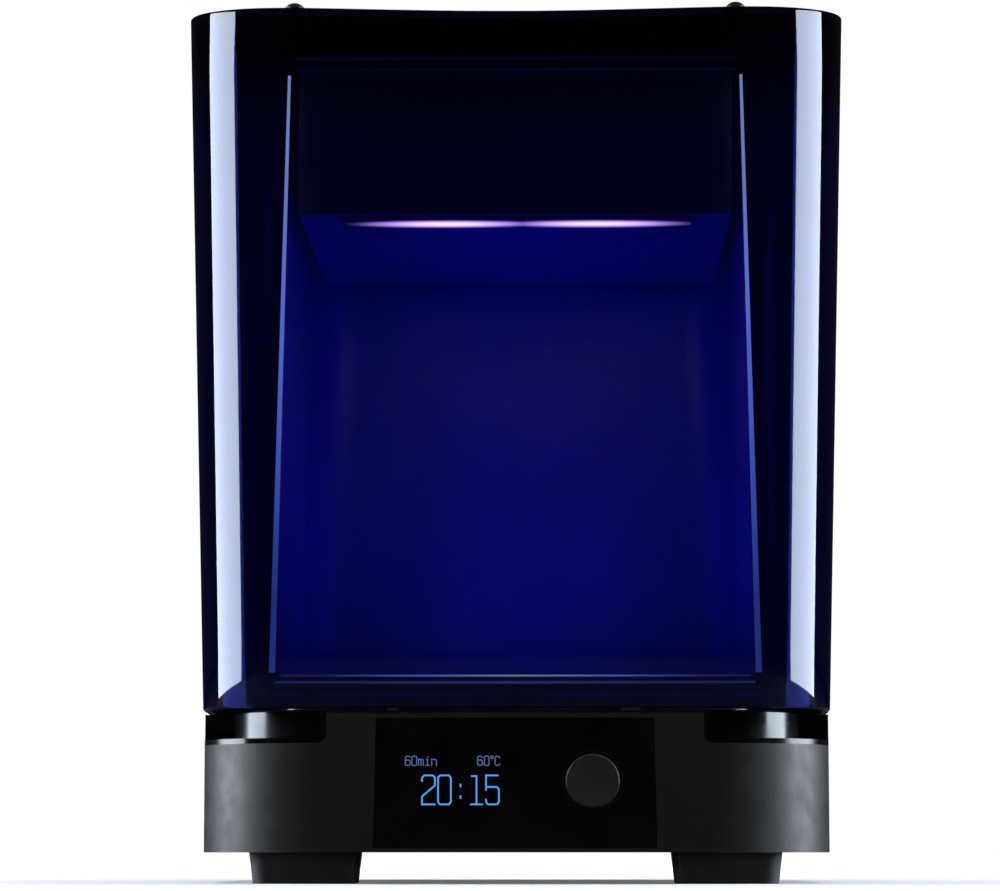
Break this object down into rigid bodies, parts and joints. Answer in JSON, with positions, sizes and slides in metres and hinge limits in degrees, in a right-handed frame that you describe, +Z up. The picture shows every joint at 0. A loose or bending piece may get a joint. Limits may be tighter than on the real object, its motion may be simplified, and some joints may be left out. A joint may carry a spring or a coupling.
{
  "type": "uv curing lamp",
  "caption": "Desktop ultraviolet curing lamp: tinted hinged hood with a lamp and reflective chamber over a low base with turntable, warm-air unit, display and push knob.",
  "frame": {"origin": "on the floor, under the middle of the body", "axes": "+Z up, -Y towards the control panel, +X to the right as seen from the front"},
  "size_m": [0.2642, 0.2636, 0.3458],
  "materials": {
    "tinted_hood": "polished",
    "base_plastic": "fine matte texture",
    "black_frame": "satin",
    "gloss_black": "gloss",
    "screen_glass": "gloss",
    "board_green": "solder mask",
    "satin_steel": "satin",
    "black_plastic": "matte",
    "knob_grey": "satin",
    "knob_trim": "gloss",
    "black_steel": "powder coat",
    "foot_rubber": "matte",
    "foam_seal": "matte",
    "bright_sheet": "polished",
    "bronze": "satin",
    "table_glass": "polished",
    "led_board": "white solder mask",
    "lens_clear": "clear",
    "heatsink": "satin",
    "hinge_metal": "satin"
  },
  "bodies": {
    "base": {"air_duct": "black_steel", "base_pan": "black_steel", "base_shell": "base_plastic", "blower_case": "black_plastic", "board_screws": "satin_steel", "chamber_floor": "bright_sheet", "control_board": "board_green", "display_board": "board_green", "display_panel": "gloss_black", "display_screen": "screen_glass", "drive_motor": "satin_steel", "encoder_body": "satin_steel", "finger_recess_left": "gloss_black", "finger_recess_right": "gloss_black", "floor_led_board": "led_board", "floor_led_lenses": "lens_clear", "foot_front_left": "foot_rubber", "foot_front_right": "foot_rubber", "foot_rear_left": "foot_rubber", "foot_rear_right": "foot_rubber", "foot_screws": "satin_steel", "heater_core": "heatsink", "hinge_bracket_left": "hinge_metal", "hinge_bracket_right": "hinge_metal", "hinge_pins": "satin_steel", "knob_ring": "knob_trim", "lid_seal": "foam_seal", "lid_sensor": "board_green", "motor_bracket": "black_steel", "motor_screws": "satin_steel", "port_plate": "black_steel", "power_inlet": "black_plastic", "rest_pads": "foot_rubber", "turntable_bush": "bronze", "usb_socket": "satin_steel"},
    "lid": {"hood_shell": "tinted_hood", "hood_frame": "black_frame", "window_frame": "black_frame", "chamber_liner": "bright_sheet", "top_plate": "black_frame", "top_caps": "black_plastic", "lid_magnet": "satin_steel", "hinge_arm_left": "hinge_metal", "hinge_arm_right": "hinge_metal", "lamp_case": "black_frame", "lamp_lens": "lens_clear", "lamp_led_board": "led_board", "lamp_leds": "lens_clear", "lamp_heatsink": "heatsink", "lamp_driver_board": "board_green", "fan_frame": "black_plastic"},
    "turntable": {"turntable_plate": "table_glass", "turntable_hub": "satin_steel", "turntable_shaft": "satin_steel", "turntable_cap": "satin_steel"},
    "encoder": {"encoder_plunger": "black_plastic"},
    "knob": {"encoder_shaft": "satin_steel", "knob_cap": "knob_grey"},
    "blower": {"blower_rotor": "black_plastic"},
    "fan": {"fan_rotor": "black_plastic"}
  },
  "joints": [
    {"name": "lid_hinge", "type": "hinge", "parent": "base", "child": "lid", "pos_m": [0, 0.1246, 0.0666], "axis": [-1, 0, 0], "range_deg": [0, 60]},
    {"name": "turntable_spin", "type": "hinge", "parent": "base", "child": "turntable", "pos_m": [0, 0, 0.078], "axis": [0, 0, 1], "continuous": true},
    {"name": "knob_push", "type": "slide", "parent": "base", "child": "encoder", "axis": [0, 1, 0], "range_m": [0, 0.0006], "stiffness_N_per_m": 3000, "springref_m": -0.0004},
    {"name": "knob_turn", "type": "hinge", "parent": "encoder", "child": "knob", "pos_m": [0.0296, -0.1246, 0.039], "axis": [0, 1, 0], "continuous": true},
    {"name": "blower_spin", "type": "hinge", "parent": "base", "child": "blower", "pos_m": [0.08, 0.05, 0.044], "axis": [0, 0, 1], "continuous": true},
    {"name": "fan_spin", "type": "hinge", "parent": "lid", "child": "fan", "pos_m": [0, 0.066, 0.29], "axis": [0, 1, 0], "continuous": true}
  ]
}
